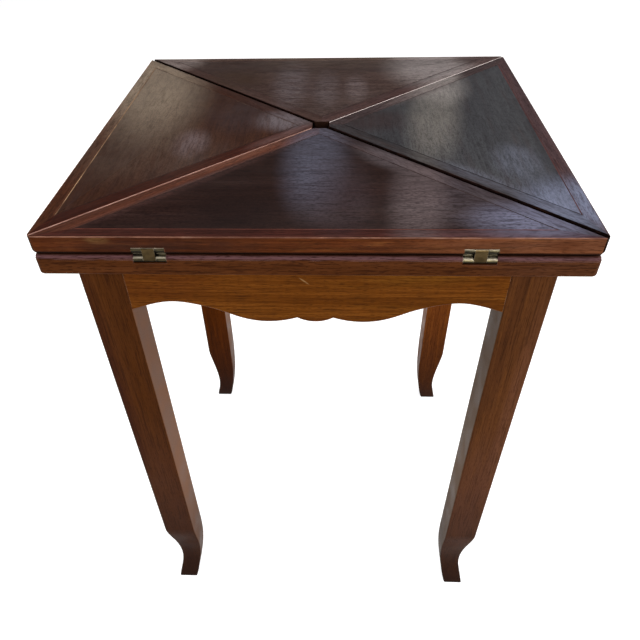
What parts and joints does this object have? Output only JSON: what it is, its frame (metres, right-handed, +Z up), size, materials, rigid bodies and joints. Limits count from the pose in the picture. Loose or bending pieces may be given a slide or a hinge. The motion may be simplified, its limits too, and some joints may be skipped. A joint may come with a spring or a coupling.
{
  "type": "folding card table",
  "caption": "Square envelope card table with a swivelling top, triangular baize-lined flaps that fold to the middle, shaped aprons and straight legs with hoofed feet.",
  "frame": {"origin": "on the floor under the middle of the table", "axes": "+Z up, -Y towards the front, +X to the right as seen from the front; the table stands folded and unturned"},
  "size_m": [0.6, 0.6, 0.744],
  "materials": {
    "leg_mahogany": "french polished mahogany, worn",
    "apron_mahogany": "french polished mahogany, horizontal grain",
    "flap_mahogany": "dark polished mahogany veneer, straight-grained bands round a fine inlaid line",
    "bed_mahogany": "polished mahogany",
    "beech": "bare planed beech, aged",
    "green_baize": "napped wool baize",
    "glide_felt": "pressed wool felt",
    "hinge_brass": "cast brass, dulled",
    "bush_brass": "turned brass",
    "screw_brass": "turned brass, dulled",
    "pin_steel": "drawn steel wire",
    "screw_steel": "turned steel, aged",
    "pivot_iron": "cast iron, blackened"
  },
  "bodies": {
    "frame": {"leg_front_left": "leg_mahogany", "leg_front_right": "leg_mahogany", "leg_back_right": "leg_mahogany", "leg_back_left": "leg_mahogany", "apron_front": "apron_mahogany", "apron_right": "apron_mahogany", "apron_back": "apron_mahogany", "apron_left": "apron_mahogany", "corner_block_front_left": "beech", "corner_block_front_right": "beech", "corner_block_back_right": "beech", "corner_block_back_left": "beech", "corner_block_screws": "screw_steel", "glide_felts": "glide_felt", "pivot_rail": "beech", "pivot_bush": "bush_brass"},
    "top": {"bed_board": "bed_mahogany", "bed_baize": "green_baize", "pivot_plate": "pivot_iron", "pivot_plate_screws": "screw_steel", "pivot_washer": "screw_steel", "pivot_nut": "screw_steel", "stop_peg": "beech", "bed_hinge_pins": "pin_steel", "bed_leaf_screws": "screw_brass", "bed_leaves_front": "hinge_brass", "bed_leaves_right": "hinge_brass", "bed_leaves_back": "hinge_brass", "bed_leaves_left": "hinge_brass"},
    "links_front": {"hinge_links_front": "hinge_brass"},
    "flap_front": {"flap_front": "flap_mahogany", "flap_baize_front": "green_baize", "flap_leaves_front": "hinge_brass", "flap_hinge_pins_front": "pin_steel", "flap_leaf_screws_front": "screw_brass"},
    "links_right": {"hinge_links_right": "hinge_brass"},
    "flap_right": {"flap_right": "flap_mahogany", "flap_baize_right": "green_baize", "flap_leaves_right": "hinge_brass", "flap_hinge_pins_right": "pin_steel", "flap_leaf_screws_right": "screw_brass"},
    "links_back": {"hinge_links_back": "hinge_brass"},
    "flap_back": {"flap_back": "flap_mahogany", "flap_baize_back": "green_baize", "flap_leaves_back": "hinge_brass", "flap_hinge_pins_back": "pin_steel", "flap_leaf_screws_back": "screw_brass"},
    "links_left": {"hinge_links_left": "hinge_brass"},
    "flap_left": {"flap_left": "flap_mahogany", "flap_baize_left": "green_baize", "flap_leaves_left": "hinge_brass", "flap_hinge_pins_left": "pin_steel", "flap_leaf_screws_left": "screw_brass"}
  },
  "joints": [
    {"name": "top_swivel", "type": "hinge", "parent": "frame", "child": "top", "pos_m": [0, 0, 0.7], "axis": [0, 0, 1], "range_deg": [0, 45]},
    {"name": "link_turn_front", "type": "hinge", "parent": "top", "child": "links_front", "pos_m": [0, -0.2966, 0.7163], "axis": [1, 0, 0], "range_deg": [0, 90]},
    {"name": "flap_fold_front", "type": "hinge", "parent": "links_front", "child": "flap_front", "pos_m": [0, -0.2966, 0.7279], "axis": [1, 0, 0], "range_deg": [0, 90]},
    {"name": "link_turn_right", "type": "hinge", "parent": "top", "child": "links_right", "pos_m": [0.2966, 0, 0.7163], "axis": [0, 1, 0], "range_deg": [0, 90]},
    {"name": "flap_fold_right", "type": "hinge", "parent": "links_right", "child": "flap_right", "pos_m": [0.2966, 0, 0.7279], "axis": [0, 1, 0], "range_deg": [0, 90]},
    {"name": "link_turn_back", "type": "hinge", "parent": "top", "child": "links_back", "pos_m": [0, 0.2966, 0.7163], "axis": [-1, 0, 0], "range_deg": [0, 90]},
    {"name": "flap_fold_back", "type": "hinge", "parent": "links_back", "child": "flap_back", "pos_m": [0, 0.2966, 0.7279], "axis": [-1, 0, 0], "range_deg": [0, 90]},
    {"name": "link_turn_left", "type": "hinge", "parent": "top", "child": "links_left", "pos_m": [-0.2966, 0, 0.7163], "axis": [0, -1, 0], "range_deg": [0, 90]},
    {"name": "flap_fold_left", "type": "hinge", "parent": "links_left", "child": "flap_left", "pos_m": [-0.2966, 0, 0.7279], "axis": [0, -1, 0], "range_deg": [0, 90]}
  ],
  "couplings": [
    {"joint": "link_turn_front", "follows": "flap_fold_front", "ratio": 1},
    {"joint": "link_turn_right", "follows": "flap_fold_right", "ratio": 1},
    {"joint": "link_turn_back", "follows": "flap_fold_back", "ratio": 1},
    {"joint": "link_turn_left", "follows": "flap_fold_left", "ratio": 1}
  ]
}
